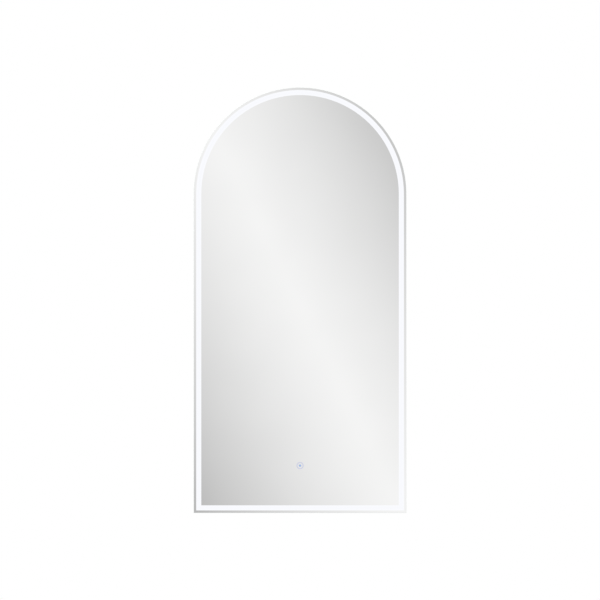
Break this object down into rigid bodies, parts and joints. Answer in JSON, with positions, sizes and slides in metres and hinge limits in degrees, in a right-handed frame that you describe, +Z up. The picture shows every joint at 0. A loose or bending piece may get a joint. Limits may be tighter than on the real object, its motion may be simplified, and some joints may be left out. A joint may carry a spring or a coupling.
{
  "type": "lighted mirror cabinet",
  "caption": "Arched wall cabinet whose hinged door is a mirror with a lit frosted band round its edge and a touch button, over glass shelves on pegs.",
  "frame": {"origin": "on the wall plane, midway between the two upper hanging holes", "axes": "+X to the right seen from the front, +Y into the wall, +Z up; the mirror faces -Y"},
  "size_m": [0.5, 0.1525, 0.9999],
  "materials": {
    "white_lacquer": "satin white lacquer on moisture-resistant board",
    "white_panel": "white faced thin board",
    "batten_board": "bare moisture-resistant board",
    "beech": "bare beech",
    "mirror_silver": "silvered float glass, polished",
    "lit_frost": "etched frost, lit from behind",
    "button_frost": "etched frost, lit from behind, pale blue",
    "shelf_glass": "clear float glass with polished edges",
    "nickel_steel": "nickel plated steel",
    "zinc_screw": "bright zinc",
    "strike_steel": "zinc plated sheet",
    "peg_chrome": "chrome plated",
    "lamp_aluminium": "mill finish extrusion",
    "lamp_strip": "lamp strip with pale yellow phosphor",
    "opal_plastic": "opal",
    "seal_foam": "black foam",
    "bond_tape": "foam bonding tape",
    "sensor_black": "moulded black",
    "wire_white": "white insulation",
    "wire_black": "black insulation",
    "fitting_white": "moulded white",
    "grommet_grey": "grey rubber",
    "case_white": "moulded white, fine texture",
    "terminal_white": "moulded ivory",
    "ferrite": "bare ferrite",
    "clear_silicone": "clear soft dot"
  },
  "bodies": {
    "cabinet": {"carcass_hoop": "white_lacquer", "carcass_floor": "white_lacquer", "back_panel": "white_panel", "hanging_batten": "batten_board", "lower_batten": "batten_board", "dowels": "beech", "shelf_lower": "shelf_glass", "shelf_middle": "shelf_glass", "shelf_upper": "shelf_glass", "mounting_plate_lower": "nickel_steel", "mounting_plate_middle": "nickel_steel", "mounting_plate_upper": "nickel_steel", "hinge_arm_lower": "nickel_steel", "hinge_arm_middle": "nickel_steel", "hinge_arm_upper": "nickel_steel", "plate_screws": "zinc_screw", "arm_screws": "zinc_screw", "catch_screws": "zinc_screw", "supply_screws": "zinc_screw", "box_screws": "zinc_screw", "lid_screws": "zinc_screw", "shelf_pegs": "peg_chrome", "lamp_lead": "wire_white", "mains_link": "wire_white", "catch_housings": "fitting_white", "lead_clips": "fitting_white", "panel_grommet": "grommet_grey", "mains_grommet": "grommet_grey", "power_supply": "case_white", "mains_box": "case_white", "mains_lid": "case_white", "terminal_block": "terminal_white", "catch_magnets": "ferrite"},
    "door": {"door_board": "white_lacquer", "mirror_glass": "mirror_silver", "frosted_band": "lit_frost", "touch_button": "button_frost", "touch_sensor": "sensor_black", "edge_seal": "seal_foam", "mirror_tape": "bond_tape", "lamp_channel": "lamp_aluminium", "lamp_tape": "lamp_strip", "lamp_diffuser": "opal_plastic", "door_harness": "wire_black", "door_grommet": "grommet_grey", "inner_mirror": "mirror_silver", "strike_plates": "strike_steel", "strike_screws": "zinc_screw", "door_bumpers": "clear_silicone", "cup_screws": "zinc_screw", "hinge_cup_lower": "nickel_steel", "hinge_cup_middle": "nickel_steel", "hinge_cup_upper": "nickel_steel", "hinge_pin_lower": "nickel_steel", "hinge_pin_middle": "nickel_steel", "hinge_pin_upper": "nickel_steel"}
  },
  "joints": [
    {"name": "door_hinge", "type": "hinge", "parent": "cabinet", "child": "door", "pos_m": [-0.2395, -0.1365, -0.335], "axis": [0, 0, -1], "range_deg": [0, 95], "deforming": ["lamp_lead"]}
  ]
}
